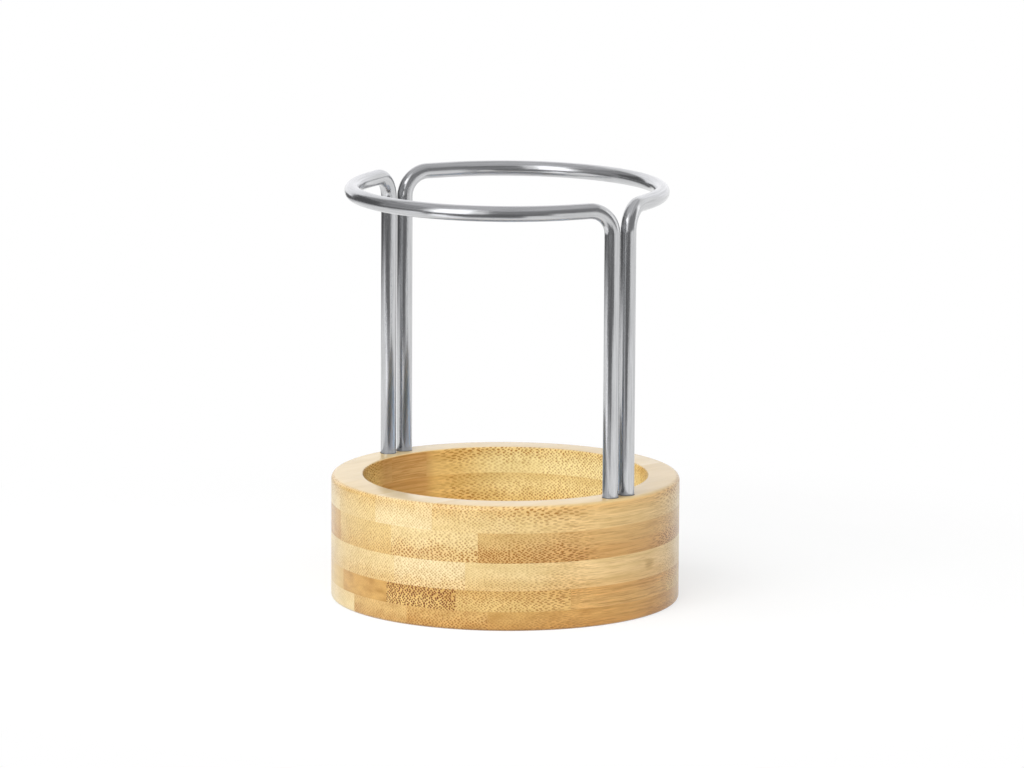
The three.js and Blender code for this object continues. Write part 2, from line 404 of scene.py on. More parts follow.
def bent_rod(rods):
    """The front rod: a round section drawn up the leg, round the bend, along the ring and down again."""
    line = rod_line(rods)
    foot, inwards = line["foot"], line["inwards"]
    mirrored = Matrix.Diagonal((-1, 1, 1))
    bpy.ops.object.select_all(action="DESELECT")
    bpy.ops.mesh.primitive_circle_add(
        vertices=rods.sides, radius=rods.diameter / 2, fill_type="NGON", location=foot
    )
    piece = bpy.context.object
    piece.name = "bent_front_rod"
    piece.data.name = piece.name
    bpy.ops.object.transform_apply(location=True, rotation=True, scale=True)
    open_mesh(piece)
    bpy.ops.mesh.select_mode(type="FACE")
    bpy.ops.mesh.select_all(action="SELECT")
    up = Vector((0, 0, 1))
    leg_length = line["bend_height"] - foot.z
    bend_centre = Vector((foot.x, foot.y, line["bend_height"])) + inwards * rods.bend
    far_centre = mirrored @ bend_centre
    leaving = mirrored @ inwards * -1

    def draw(step):
        """Draws the end face straight on."""
        bpy.ops.mesh.extrude_region_move(TRANSFORM_OT_translate={"value": step})

    def turn(steps, angle, centre, axis):
        """Draws the end face round an axis. Spin counts its angles the other way round."""
        bpy.ops.mesh.spin(steps=steps, angle=-angle, center=centre, axis=axis)

    draw(up * leg_length)
    turn(rods.bend_steps, math.pi / 2, bend_centre, up.cross(inwards))
    draw(inwards * rods.straight)
    turn(rods.ring_steps, line["ring_angle"], (0, 0, line["ring_height"]), -up)
    draw(leaving * rods.straight)
    turn(rods.bend_steps, math.pi / 2, far_centre, leaving.cross(-up))
    draw(up * -leg_length)
    select_where(piece, "edges", lambda p: p.z < foot.z + AT_PLACE)
    bpy.ops.mesh.bevel(offset_type="OFFSET", offset=rods.chamfer, segments=2, affect="EDGES")
    close_mesh()
    return piece


def mark_drawing_lines(piece, rods, turned):
    """Stores where each point lies in the wire: across it in two directions, and along it."""
    line = rod_line(rods)
    up = Vector((0, 0, 1))
    foot, outwards, inwards = line["foot"], line["outwards"], line["inwards"]
    centre = Vector((foot.x, foot.y, line["bend_height"])) + inwards * rods.bend
    ring_centre = up * line["ring_height"]
    leg_length = line["bend_height"] - foot.z
    bend_length = math.pi / 2 * rods.bend
    half_ring = line["ring_angle"] / 2 * line["ring_radius"]
    back = Matrix.Rotation(math.pi, 3, "Z") if turned else Matrix.Identity(3)
    marks = piece.data.attributes.new("drawn", "FLOAT_VECTOR", "POINT")
    runs = piece.data.attributes.new("run", "FLOAT_VECTOR", "POINT")
    for vertex, mark, run in zip(piece.data.vertices, marks.data, runs.data):
        p = back @ vertex.co
        flip = -1 if p.x < 0 else 1
        p.x *= flip
        from_bend = p - centre
        ahead = from_bend.dot(inwards)
        if p.z < line["bend_height"] - AT_BEND:
            across, above, along = (p - foot).dot(outwards), -(p - foot).dot(inwards), p.z - foot.z
            way = up
        elif ahead < 0:
            reach = math.hypot(ahead, from_bend.z)
            across, above = from_bend.dot(outwards), reach - rods.bend
            along = leg_length + rods.bend * math.atan2(from_bend.z, -ahead)
            way = (inwards * from_bend.z - up * ahead).normalized()
        elif ahead < rods.straight:
            across, above = from_bend.dot(outwards), from_bend.z - rods.bend
            along = leg_length + bend_length + ahead
            way = inwards
        else:
            flat = Vector((p.x, p.y, 0))
            across, above = flat.length - line["ring_radius"], (p - ring_centre).z
            turn = math.asin(max(-1, min(1, p.x / flat.length)))
            along = leg_length + bend_length + rods.straight + half_ring - turn * line["ring_radius"]
            way = flat.cross(up).normalized()
        mark.vector = (flip * across, above, flip * along)
        run.vector = back.transposed() @ Vector((flip * way.x, way.y, way.z))


# Materials

# The noises of the grain: how finely each varies per mm across the fibres, along them and upwards, and its
# detail and roughness. Two of them vary in one way on upright surfaces and in another on level ones.
SKIN_FRONT = ((0.35, 0.03, 0.35), 2.0, 0.5)
FINE_STREAKS = ((0.5, 0.06, 3.4, 1), (2.8, 0.07, 1.0, 1))
FINE_DETAIL = (4.0, 0.7)
BROAD_STREAKS = ((0.4, 0.02, 1.1), 3.0, 0.6)
THREADS = ((0.35, 0.12, 4.4, 1), (2.6, 0.08, 1.0, 1))
THREAD_DETAIL = (2.0, 0.6)
BLOTCHES = ((0.22, 0.05, 0.5), 3.0, 0.55)

# The same for the steel: twice across the wire, and along it
DRAWN_LINES = ((2.4, 2.4, 0.07), 4.0, 0.7)
STEEL_CLOUDS = ((0.5, 0.5, 0.12), 2.0, 0.5)

# How the fibres stray, in long waves and in short ripples: how finely that varies per mm, its detail, and
# how far they go in mm
WAVES = ((0.16, 0.02, 0.16), 2.0, (1.5, 0.0, 1.5))
RIPPLES = ((1.4, 0.1, 1.4), 1.0, (0.45, 0.0, 0.45))

# The rows of bundles: their pitch and slant as shares of the spacing, and where a bundle's edge starts and
# ends
ROW_PITCH = 0.45
ROW_SLANT = 0.5
BUNDLE_EDGE = (0.16, 0.31)

# Straight lines, each a factor and what is added to the product: how unevenly bundles stand, by the square
# of their strength; a bundle's own strength, by chance; how threads and streaks show, by how level the
# surface is and by its side grain; the roughness, by the fine streaks; the bundles and the coat, by how
# far in the pocket a point is
UNEVENNESS = (0.02, 0.32)
OWN_STRENGTH = (0.5, 0.55)
THREADS_WHEN_LEVEL = (-0.42, 0.52)
STREAKS_WHEN_LEVEL = (-0.88, 1.0)
STREAKS_ON_SIDE = (0.65, 0.35)
ROUGHNESS = (0.25, 0.40)
BUNDLES_IN_POCKET = (0.15, 1.0)
COAT = (-0.67, 0.75)

# How much one thing counts in another
PATCHES_IN_SKIN = 0.7
FINE_IN_STREAKS = 1.5
STREAKS_IN_TONE = 0.55
BLOTCHES_IN_TONE = 0.6
THREADS_IN_SCAR = -0.8
BUNDLES_IN_DARK = 0.8
BUNDLES_IN_ROUGHNESS = 0.12
POCKET_IN_ROUGHNESS = 0.5
BUNDLES_IN_RELIEF = -0.6
LINES_IN_ROUGHNESS = 0.16
LINES_IN_TONE = 0.85
CLOUDS_IN_TONE = 0.12

# What the ground colour is multiplied by. Side grain has one value for upright surfaces and one for level;
# the bluer level one is partly a painted sheen that whitens the rim's top.
PLAIN = (1, 1, 1, 1)
SIDE_GRAIN_AND_TOP_SHEEN = ((1.08, 1.0, 0.96, 1), (0.95, 1.0, 1.18, 1))
DEEP_WOOD = (0.9, 0.8, 0.62)
SKIN_SIDE = (0.94, 0.86, 0.76)
# Painted shade on the pocket's left wall: in a middle stretch, and over a wider one
LEFT_PAINTED_SHADE = (0.80, 0.70, 0.72, 1)
WIDE_LEFT_PAINTED_SHADE = (0.88, 0.79, 0.63, 1)
FAR_RIGHT = (1.05, 0.95, 0.73, 1)
UNDER_RIM = (0.90, 0.84, 0.76)

# Painted reflection: the colour that gloss sees on the cup instead of its own, so that the steel mirrors it
# as grey: outside, in the pocket near the rim, and deep in the pocket, where it is bluer against the brown
# light there
PAINTED_REFLECTION = ((0.53, 0.545, 0.57, 1), (0.54, 0.61, 0.74, 1), (0.46, 0.66, 1.0, 1))
PAINTED_REFLECTION_SHARE = 0.95

# How far the surface is turned from or to the fibres, or upwards, where each of these starts and is full
SIDE_TURN = (0.68, 0.27)
LEVEL_TURN = (0.4, 0.9)
BUNDLE_FADE = (0.14, 0.45, 0.08, 1.0)

# Where the skin's front, a thread and the red of darker wood start and are full
SKIN_RISE = (0.15, 0.95)
THREAD_EDGE = (0.55, 0.62)
WARM_TONE = (1.08, 0.8)

# A culm node's scar: how steeply it fades per mm across the fibres, along them and upwards, where it starts
# and is full, how dark it gets, and how many threads leave its edge as it is
SCAR = (0.3, 0.38, 0.55)
SCAR_EDGE = (1.1, 0.1, 0.0, 0.23)
USUAL_THREADS = 0.1

# Where in the pocket each look starts and is full, in mm: by radius, height, and places across and along
POCKET_EDGE = (38.0, 36.0)
POCKET_FLOOR = (12.0, 9.0)
POCKET_DEPTH = (31.0, 16.0)
LEFT_ACROSS = (0.0, -10.0)
LEFT_SHADE_ALONG = ((9.0, 5.0), (-14.0, -8.0))
WIDE_SHADE_ALONG = (27.0, 12.0)
FAR_ACROSS = (8.0, 14.0)
FAR_ALONG = (26.0, 31.0)

# How far the darker stretch reaches below the rim's ply, and how soft its upper edge is, in mm
UNDER_RIM_REACH = 3.5
JOINT_EDGE = 0.05

# Limits of the shifts that set the strips apart in the culm, in mm, and the strength at the skin above
# which the bundles are also darker
SHIFTS = (50, 900)
STRONG_SKIN = 1.8


class Tree:
    """Adds nodes to a node tree, with sockets given as values or as other sockets."""

    def __init__(self, tree):
        self.tree = tree
        tree.nodes.clear()

    def node(self, kind, sockets=None, **settings):
        """A node of one kind, with its settings and its input sockets."""
        made = self.tree.nodes.new(kind)
        for key, value in settings.items():
            setattr(made, key, value)
        for key, value in (sockets or {}).items():
            if isinstance(value, bpy.types.NodeSocket):
                self.tree.links.new(value, made.inputs[key])
            else:
                made.inputs[key].default_value = value
        return made

    def sum(self, operation, first, second=0.0, third=0.0, clamp=False):
        """The result of a Math node."""
        sockets = {0: first, 1: second, 2: third}
        return self.node("ShaderNodeMath", sockets, operation=operation, use_clamp=clamp).outputs[0]

    def times(self, first, second, plus=None, clamp=False):
        """The product of two values, with a third added to it if one is given."""
        if plus is None:
            return self.sum("MULTIPLY", first, second, clamp=clamp)
        return self.sum("MULTIPLY_ADD", first, second, plus, clamp)

    def centred(self, noise):
        """A noise that varies round 0.5, moved to vary round 0."""
        return self.sum("SUBTRACT", noise, 0.5)

    def vector(self, operation, first, second=None, scale=None):
        """The result of a Vector Math node."""
        sockets = {0: first}
        if second is not None:
            sockets[1] = second
        if scale is not None:
            sockets["Scale"] = scale
        return self.node("ShaderNodeVectorMath", sockets, operation=operation).outputs["Vector"]

    def length(self, vector):
        """How long a vector is."""
        return self.node("ShaderNodeVectorMath", {0: vector}, operation="LENGTH").outputs["Value"]

    def parts(self, vector):
        """A vector's three parts."""
        return self.node("ShaderNodeSeparateXYZ", {0: vector}).outputs

    def ramp(self, value, start, end, low=0.0, high=1.0):
        """A smooth step from low, where the value is at start, to high, where it is at end."""
        sockets = {"Value": value, "From Min": start, "From Max": end, "To Min": low, "To Max": high}
        return self.node("ShaderNodeMapRange", sockets, interpolation_type="SMOOTHSTEP").outputs["Result"]

    def noise(self, place, stretch, detail, roughness=0.5):
        """The outputs of a noise with this many cells per unit of place."""
        place = self.vector("MULTIPLY", place, stretch)
        sockets = {"Vector": place, "Scale": 1.0, "Detail": detail, "Roughness": roughness}
        return self.node("ShaderNodeTexNoise", sockets).outputs

    def blend(self, factor, first, second):
        """The first colour where the factor is 0, and the second where it is 1."""
        # A Mix node takes its colours at inputs 6 and 7, and gives the result at output 2.
        sockets = {0: factor, 6: first, 7: second}
        return self.node("ShaderNodeMix", sockets, data_type="RGBA").outputs[2]


def group_tree(name, inputs, outputs):
    """A new shader node group with these sockets, by their kinds."""
    tree = bpy.data.node_groups.new(name, "ShaderNodeTree")
    for side, kinds in (("INPUT", inputs), ("OUTPUT", outputs)):
        for kind, labels in kinds.items():
            for label in labels:
                tree.interface.new_socket(label, in_out=side, socket_type="NodeSocket" + kind)
    return tree


def bundle_layer(nodes, across, spacing, strength):
    """Cut fibre bundles in staggered rows: 1 in a bundle and 0 between, each with its own strength."""
    parts = nodes.parts(across)
    rows = nodes.sum("DIVIDE", parts[2], nodes.times(spacing, ROW_PITCH))
    columns = nodes.sum("ADD", nodes.sum("DIVIDE", parts[0], spacing), nodes.times(rows, ROW_SLANT))
    place = nodes.node("ShaderNodeCombineXYZ", {0: columns, 1: rows}).outputs[0]
    unevenness = nodes.times(nodes.times(strength, strength), *UNEVENNESS)
    cells = nodes.node(
        "ShaderNodeTexVoronoi",
        {"Vector": place, "Scale": 1.0, "Randomness": unevenness},
        voronoi_dimensions="2D",
    ).outputs
    offset = nodes.parts(nodes.vector("SUBTRACT", place, cells["Position"]))
    sideways = nodes.sum("SUBTRACT", offset[0], nodes.times(offset[1], ROW_SLANT))
    upwards = nodes.times(offset[1], ROW_PITCH)
    squared = nodes.sum("ADD", nodes.times(sideways, sideways), nodes.times(upwards, upwards))
    spot = nodes.ramp(nodes.sum("SQRT", squared), *BUNDLE_EDGE, 1.0, 0.0)
    own = nodes.parts(cells["Color"])[0]
    return nodes.times(spot, nodes.times(own, *OWN_STRENGTH))


def strayed_place(nodes, moved):
    """Where a point lies among the fibres, which wander and have ragged edges."""
    place = moved
    for stretch, detail, reach in (WAVES, RIPPLES):
        way = nodes.vector("SUBTRACT", nodes.noise(moved, stretch, detail)["Color"], (0.5, 0.5, 0.5))
        place = nodes.vector("ADD", place, nodes.vector("MULTIPLY", way, reach))
    return place


def skin_share(nodes, given, height, moved):
    """How near the skin side a point is, with an uneven front."""
    reach = nodes.sum("SUBTRACT", given["Skin Height"], given["Pith Height"])
    share = nodes.sum("DIVIDE", nodes.sum("SUBTRACT", height, given["Pith Height"]), reach)
    patches = nodes.centred(nodes.noise(moved, *SKIN_FRONT)["Fac"])
    return nodes.ramp(nodes.times(patches, PATCHES_IN_SKIN, share), *SKIN_RISE)


def side_fibres(nodes, given, moved, side_grain, level):
    """The fibres as they show from the side: a fine noise, the streaks round 0 and the dark threads."""
    fine = nodes.noise(moved, nodes.blend(level, *FINE_STREAKS), *FINE_DETAIL)["Fac"]
    broad = nodes.noise(moved, *BROAD_STREAKS)["Fac"]
    streaks = nodes.times(nodes.centred(fine), FINE_IN_STREAKS, nodes.centred(broad))
    streaks = nodes.times(streaks, nodes.times(level, *STREAKS_WHEN_LEVEL))
    streaks = nodes.times(streaks, given["Streak Strength"])
    streaks = nodes.times(streaks, nodes.times(side_grain, *STREAKS_ON_SIDE))
    threads = nodes.noise(moved, nodes.blend(level, *THREADS), *THREAD_DETAIL)["Fac"]
    threads = nodes.times(nodes.ramp(threads, *THREAD_EDGE), given["Streak Strength"])
    showing = nodes.times(side_grain, nodes.times(level, *THREADS_WHEN_LEVEL))
    return fine, streaks, nodes.times(threads, showing)


def wood_tone(nodes, given, place, moved, streaks, threads):
    """How light the wood between the bundles is, round 1."""
    blotch = nodes.centred(nodes.noise(moved, *BLOTCHES)["Fac"])
    blotch = nodes.times(blotch, given["Blotch Strength"])
    tone = nodes.sum("ADD", nodes.times(streaks, STREAKS_IN_TONE), nodes.times(blotch, BLOTCHES_IN_TONE))
    # The scar of a culm node is a smudge, longer along the fibres than upwards.
    scar = nodes.length(nodes.vector("MULTIPLY", nodes.vector("SUBTRACT", place, given["Knot"]), SCAR))
    scar = nodes.times(nodes.sum("SUBTRACT", threads, USUAL_THREADS), THREADS_IN_SCAR, scar)
    tone = nodes.sum("SUBTRACT", tone, nodes.ramp(scar, *SCAR_EDGE))
    return nodes.sum("ADD", tone, 1.0)


def wood_colour(nodes, given, tone, near_skin, side_grain, level):
    """The colour between the bundles, outside the pocket."""
    ground = nodes.vector("SCALE", given["Ground"], scale=tone)
    # Side grain's own colour on upright surfaces; on level ones, partly a painted sheen.
    lying = nodes.blend(level, *SIDE_GRAIN_AND_TOP_SHEEN)
    ground = nodes.vector("MULTIPLY", ground, nodes.blend(side_grain, PLAIN, lying))
    # Warm light bounces about between the fibres, so darker wood is also redder.
    deep = nodes.vector("MULTIPLY", ground, DEEP_WOOD)
    ground = nodes.blend(nodes.ramp(tone, *WARM_TONE), ground, deep)
    # The skin side is darker between its bundles too.
    skin = nodes.times(nodes.sum("POWER", near_skin, 2.0), given["Skin Strength"], clamp=True)
    return nodes.blend(skin, ground, nodes.vector("MULTIPLY", ground, SKIN_SIDE))


def pocket_and_painted_light(nodes, given, place, upright):
    """How far a point is in the pocket, and what its colour is multiplied by there: painted light that
    lightens the pocket, painted shade on its left wall, more orange at its far right and darker just under
    the rim's ply.
    """
    across, along, height = nodes.parts(place)
    radius = nodes.length(nodes.vector("MULTIPLY", place, (1, 1, 0)))
    wall_or_floor = nodes.sum("MAXIMUM", upright, nodes.ramp(height, *POCKET_FLOOR))
    pocket = nodes.times(nodes.ramp(radius, *POCKET_EDGE), wall_or_floor)
    # Painted shade: the pocket's wall is browner on its left, which faces away from the lamps on the left.
    left = nodes.ramp(across, *LEFT_ACROSS)
    stretch = nodes.times(*(nodes.ramp(along, *limits) for limits in LEFT_SHADE_ALONG))
    left_shade = nodes.times(nodes.times(left, stretch), upright)
    look = nodes.blend(left_shade, PLAIN, LEFT_PAINTED_SHADE)
    # Painted shade over a wider stretch of the left wall.
    wide_left_shade = nodes.times(nodes.times(left, nodes.ramp(along, *WIDE_SHADE_ALONG)), upright)
    look = nodes.vector("MULTIPLY", look, nodes.blend(wide_left_shade, PLAIN, WIDE_LEFT_PAINTED_SHADE))
    far_right = nodes.times(nodes.ramp(across, *FAR_ACROSS), nodes.ramp(along, *FAR_ALONG))
    look = nodes.blend(far_right, look, FAR_RIGHT)
    # Painted light: each strip's own factor lightens the pocket.
    look = nodes.vector("MULTIPLY", look, given["Pocket"])
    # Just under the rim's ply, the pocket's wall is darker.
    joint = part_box("rim_ply_strip_1")[0].z / MM
    below = nodes.ramp(height, joint + JOINT_EDGE, joint - JOINT_EDGE)
    under_rim = nodes.times(nodes.ramp(height, joint - UNDER_RIM_REACH, joint), below)
    return pocket, nodes.blend(under_rim, look, nodes.vector("MULTIPLY", look, UNDER_RIM))


def bamboo_grain():
    """Bamboo sawn from the culm: fibre bundles that run along Y, crowded towards the skin side."""
    inputs = {
        "Color": ("Ground", "Bundle", "Pocket"),
        "Float": (
            "Skin Height", "Pith Height", "Spacing", "Skin Strength", "Pith Strength", "Streak Strength",
            "Blotch Strength",
        ),
        "Vector": ("Shift", "Knot"),
    }
    outputs = {"Color": ("Color", "Mirrored"), "Float": ("Roughness", "Height", "Coat")}
    tree = group_tree("Bamboo Grain", inputs, outputs)
    nodes = Tree(tree)
    given = nodes.node("NodeGroupInput").outputs
    seen = nodes.node("ShaderNodeTexCoord").outputs
    place = nodes.vector("SCALE", seen["Object"], scale=1 / MM)
    moved = nodes.vector("ADD", place, given["Shift"])
    height = nodes.parts(place)[2]
    normal = nodes.parts(seen["Normal"])
    facing = nodes.sum("ABSOLUTE", normal[1])
    side_grain = nodes.ramp(facing, *SIDE_TURN)
    level = nodes.ramp(nodes.sum("ABSOLUTE", normal[2]), *LEVEL_TURN)
    upright = nodes.sum("SUBTRACT", 1.0, level)
    near_skin = skin_share(nodes, given, height, moved)
    pocket, inside = pocket_and_painted_light(nodes, given, place, upright)

    # Where the surface runs along the fibres, the bundles fade and the fibres show from the side.
    strength = nodes.sum("SUBTRACT", given["Skin Strength"], given["Pith Strength"])
    strength = nodes.times(near_skin, strength, given["Pith Strength"])
    bundles = bundle_layer(nodes, strayed_place(nodes, moved), given["Spacing"], given["Skin Strength"])
    bundles = nodes.times(bundles, strength)
    bundles = nodes.times(bundles, nodes.ramp(facing, *BUNDLE_FADE))
    bundles = nodes.times(bundles, nodes.times(pocket, *BUNDLES_IN_POCKET))
    fine, streaks, threads = side_fibres(nodes, given, moved, side_grain, level)

    tone = wood_tone(nodes, given, place, moved, streaks, threads)
    ground = wood_colour(nodes, given, tone, near_skin, side_grain, level)
    # In the pocket, the painted light and shade are multiplied in.
    ground = nodes.blend(pocket, ground, nodes.vector("MULTIPLY", ground, inside))
    dark = nodes.times(bundles, BUNDLES_IN_DARK, threads, clamp=True)
    roughness = nodes.times(nodes.centred(fine), *ROUGHNESS)
    roughness = nodes.times(bundles, BUNDLES_IN_ROUGHNESS, roughness)
    deep_down = nodes.times(nodes.ramp(height, *POCKET_DEPTH), upright)
    # The painted reflection turns bluer deep in the pocket.
    deep_painted_reflection = nodes.blend(deep_down, *PAINTED_REFLECTION[1:])
    results = {
        "Color": nodes.blend(dark, ground, given["Bundle"]),
        "Roughness": nodes.times(pocket, POCKET_IN_ROUGHNESS, roughness, clamp=True),
        "Height": nodes.times(bundles, BUNDLES_IN_RELIEF, fine),
        "Coat": nodes.times(pocket, *COAT),
        "Mirrored": nodes.blend(pocket, PAINTED_REFLECTION[0], deep_painted_reflection),
    }
    nodes.node("NodeGroupOutput", results)
    return tree


def new_material(name):
    """An empty material and its tree."""
    material = bpy.data.materials.new(name)
    material.use_nodes = True
    return material, Tree(material.node_tree)


def bamboo_material(ply, number):
    """The material of one strip, placed in the culm by its ply's height and its own shift."""
    name = f"Bamboo {ply} {number}"
    if name in bpy.data.materials:
        return bpy.data.materials[name]
    colours = bpy.context.scene.pen_holder_bamboo
    tone_name, depth, skin, spacing, at_skin, at_pith, streaks, blotches = GRAIN[ply][number - 1]
    node = next(n for n in sorted(SLOTS) if n.startswith(f"{ply}_strip_{number}"))
    tone = getattr(colours, tone_name)
    low, high = (corner.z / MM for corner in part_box(node))
    grain = bpy.data.node_groups.get("Bamboo Grain") or bamboo_grain()
    shift = random.Random(name)
    material, nodes = new_material(name)
    made = nodes.node(
        "ShaderNodeGroup",
        {
            "Ground": (*(channel**depth for channel in tone), 1),
            "Bundle": (*(channel ** max(1, at_skin / STRONG_SKIN) for channel in colours.bundle), 1),
            "Skin Height": high if skin == "top" else low,
            "Pith Height": low if skin == "top" else high,
            "Spacing": spacing,
            "Skin Strength": at_skin,
            "Pith Strength": at_pith,
            "Streak Strength": streaks,
            "Blotch Strength": blotches,
            "Shift": [shift.uniform(*SHIFTS) for _ in range(3)],
            "Knot": KNOTS.get((ply, number), NO_KNOT),
            "Pocket": PAINTED_POCKET_LIGHT.get((ply, number), USUAL_PAINTED_POCKET_LIGHT),
        },
        node_tree=grain,
    ).outputs
    relief = {"Height": made["Height"], "Strength": 0.25, "Distance": 0.05 * MM}
    bump = nodes.node("ShaderNodeBump", relief)
    # Painted reflection: gloss sees the cup in grey instead of its colour, so the steel mirrors it as plain
    # grey.
    gloss = nodes.node("ShaderNodeLightPath").outputs["Is Glossy Ray"]
    mirrored = nodes.times(gloss, PAINTED_REFLECTION_SHARE)
    surface = nodes.node(
        "ShaderNodeBsdfPrincipled",
        {
            "Base Color": nodes.blend(mirrored, made["Color"], made["Mirrored"]),
            "Roughness": made["Roughness"],
            "Normal": bump.outputs["Normal"],
            "Specular IOR Level": 0.12,
            "Coat Weight": made["Coat"],
            "Coat Roughness": 0.22,
        },
    )
    nodes.node("ShaderNodeOutputMaterial", {"Surface": surface.outputs[0]})
    return material


def steel_material():
    """Satin drawn wire, with fine lines along it."""
    name = "Steel wire"
    if name in bpy.data.materials:
        return bpy.data.materials[name]
    steel = bpy.context.scene.pen_holder_steel
    material, nodes = new_material(name)
    drawn = nodes.node("ShaderNodeAttribute", attribute_name="drawn").outputs["Vector"]
    place = nodes.vector("SCALE", drawn, scale=1 / MM)
    lines = nodes.noise(place, *DRAWN_LINES)["Fac"]
    cloud = nodes.noise(place, *STEEL_CLOUDS)["Fac"]
    roughness = nodes.times(nodes.centred(lines), LINES_IN_ROUGHNESS, steel.roughness)
    tone = nodes.times(nodes.centred(lines), LINES_IN_TONE, 1.0)
    tone = nodes.times(nodes.centred(cloud), CLOUDS_IN_TONE, tone)
    bump = nodes.node("ShaderNodeBump", {"Height": lines, "Strength": 0.35, "Distance": 0.03 * MM})
    surface = nodes.node(
        "ShaderNodeBsdfPrincipled",
        {
            "Base Color": nodes.vector("SCALE", tuple(steel.colour), scale=tone),
            "Metallic": 1.0,
            "Roughness": roughness,
            "Anisotropic": 0.6,
            "Anisotropic Rotation": 0.25,
            "Tangent": nodes.node("ShaderNodeAttribute", attribute_name="run").outputs["Vector"],
            "Normal": bump.outputs["Normal"],
        },
    )
    nodes.node("ShaderNodeOutputMaterial", {"Surface": surface.outputs[0]})
    return material


# The studio

# Each lamp's turn from the camera's direction and its height angle in degrees, its distance and size in
# metres, its power as a share of the key's setting, and whether gloss sees it.
LAMPS = (
    ("Key", -30, 48, 1.0, (0.6, 0.8), 0.9, False),
    ("Front fill", -5, 24, 1.2, (0.7, 0.5), 0.42, False),
    ("Left fill", -85, 40, 1.2, (0.7, 0.7), 0.40, False),
    ("Right fill", 80, 26, 1.2, (0.7, 0.7), 0.33, False),
    ("Tall light", -38, 24, 1.0, (0.28, 0.85), 0.2, False),
    ("Side light", 97, 14, 1.2, (0.14, 0.9), 0.05, True),
)

# The height that they face, in metres
LAMP_AIM = 0.05

# Each screen's profile as (distance, height) pairs in metres, the turns in degrees between which it
# stands, and its brightness. Those that lie on the floor are a hair above it.
WALL = 1.6
SCREENS = (
    ("Ceiling", ((WALL, 1.75), (1.1, 2.1), (0.001, 2.3)), -180, 180, 0.62),
    ("Lit backdrop", ((WALL, 0.02), (WALL, 1.2)), 140, 220, 1.12),
    ("Tall glow", ((1.0, 0.01), (1.0, 1.0)), -53, -26, 2.3),
    ("Tall glow top", ((1.0, 1.0), (1.0, 1.75)), -48, -28, 1.3),
    ("Tall glow floor", ((0.10, 0.0012), (0.20, 0.0012)), -56, -42, 1.6),
    ("Lit floor", ((0.08, 0.001), (0.14, 0.001)), -58, -34, 1.3),
    ("Lit stripe", ((0.18, 0.001), (0.33, 0.001)), -76, -60, 1.2),
    ("Shaded floor left", ((0.28, 0.001), (0.38, 0.001)), -160, -76, 0.65),
    ("Shaded floor front", ((0.10, 0.001), (0.14, 0.001)), -34, 13, 0.5),
    ("Dark floor left", ((0.38, 0.001), (WALL, 0.001)), -160, -76, 0.12),
    ("Dark floor far", ((0.33, 0.001), (WALL, 0.001)), -76, -60, 0.2),
    ("Dark floor front", ((0.14, 0.001), (WALL, 0.001)), -60, 13, 0.19),
    ("Dark floor right", ((0.27, 0.001), (WALL, 0.001)), 13, 31, 0.19),
    ("Dark wall left", ((WALL, 0.0), (WALL, 0.8)), -140, -100, 0.12),
    ("Grey wall left", ((WALL, 0.8), (WALL, 1.75)), -140, -100, 0.36),
    ("Grey wall", ((WALL, 0.0), (WALL, 1.75)), -100, -60, 0.36),
    ("Dark wall front", ((WALL, 0.0), (WALL, 1.75)), -14, 84, 0.29),
)

# Degrees that a facet of a screen spans at most, and how much more blue than red its light has
SCREEN_STEP = 4
COOL_TINT = 1.02

# In metres: the floor's width, and how near and how far the camera sees
FLOOR_SIZE = 40
CLIPPING = (0.05, 50)

WHITE = (1, 1, 1, 1)

# Distances in metres between which the paper runs out into plain white
PAPER_EDGE = (0.11, 0.19)


def seen_rays(nodes):
    """1 for the rays that see the backdrop: from the camera, in gloss and through glass."""
    path = nodes.node("ShaderNodeLightPath").outputs
    gloss = nodes.sum("MAXIMUM", path["Is Camera Ray"], path["Is Glossy Ray"])
    return nodes.sum("MAXIMUM", gloss, path["Is Transmission Ray"])


def mixed(nodes, factor, first, second):
    """The first shader where the factor is 0, and the second where it is 1."""
    return nodes.node("ShaderNodeMixShader", {0: factor, 1: first.outputs[0], 2: second.outputs[0]})


def studio_world(studio):
    """Plain white for the camera and for gloss, and a soft light from all round for the rest."""
    world = bpy.data.worlds.new("White studio")
    world.use_nodes = True
    bpy.context.scene.world = world
    nodes = Tree(world.node_tree)
    ambient = nodes.node("ShaderNodeBackground", {"Color": WHITE, "Strength": studio.ambient})
    white = nodes.node("ShaderNodeBackground", {"Color": WHITE, "Strength": 1.0})
    shader = mixed(nodes, seen_rays(nodes), ambient, white)
    nodes.node("ShaderNodeOutputWorld", {"Surface": shader.outputs[0]})


def floor_material():
    """White paper: it keeps the shadow near the cup and runs out into plain white."""
    material, nodes = new_material("White paper")
    paper = nodes.node("ShaderNodeBsdfDiffuse", {"Color": (0.6, 0.6, 0.6, 1)})
    shadowed = nodes.node("ShaderNodeBsdfDiffuse", {"Color": (0.30, 0.30, 0.30, 1)})
    lift = nodes.node("ShaderNodeEmission", {"Color": WHITE, "Strength": 0.70})
    near = nodes.node("ShaderNodeAddShader", {0: shadowed.outputs[0], 1: lift.outputs[0]})
    plain = nodes.node("ShaderNodeEmission", {"Color": WHITE, "Strength": 1.0})
    distance = nodes.length(nodes.node("ShaderNodeTexCoord").outputs["Object"])
    shown = mixed(nodes, nodes.ramp(distance, *PAPER_EDGE), near, plain)
    surface = mixed(nodes, seen_rays(nodes), paper, shown)
    nodes.node("ShaderNodeOutputMaterial", {"Surface": surface.outputs[0]})
    return material


def glow_material(name, level):
    """An even grey or white that gives its own light, a little cool."""
    material, nodes = new_material(name)
    glow = nodes.node("ShaderNodeEmission", {"Color": (level, level, level * COOL_TINT, 1), "Strength": 1.0})
    nodes.node("ShaderNodeOutputMaterial", {"Surface": glow.outputs[0]})
    return material


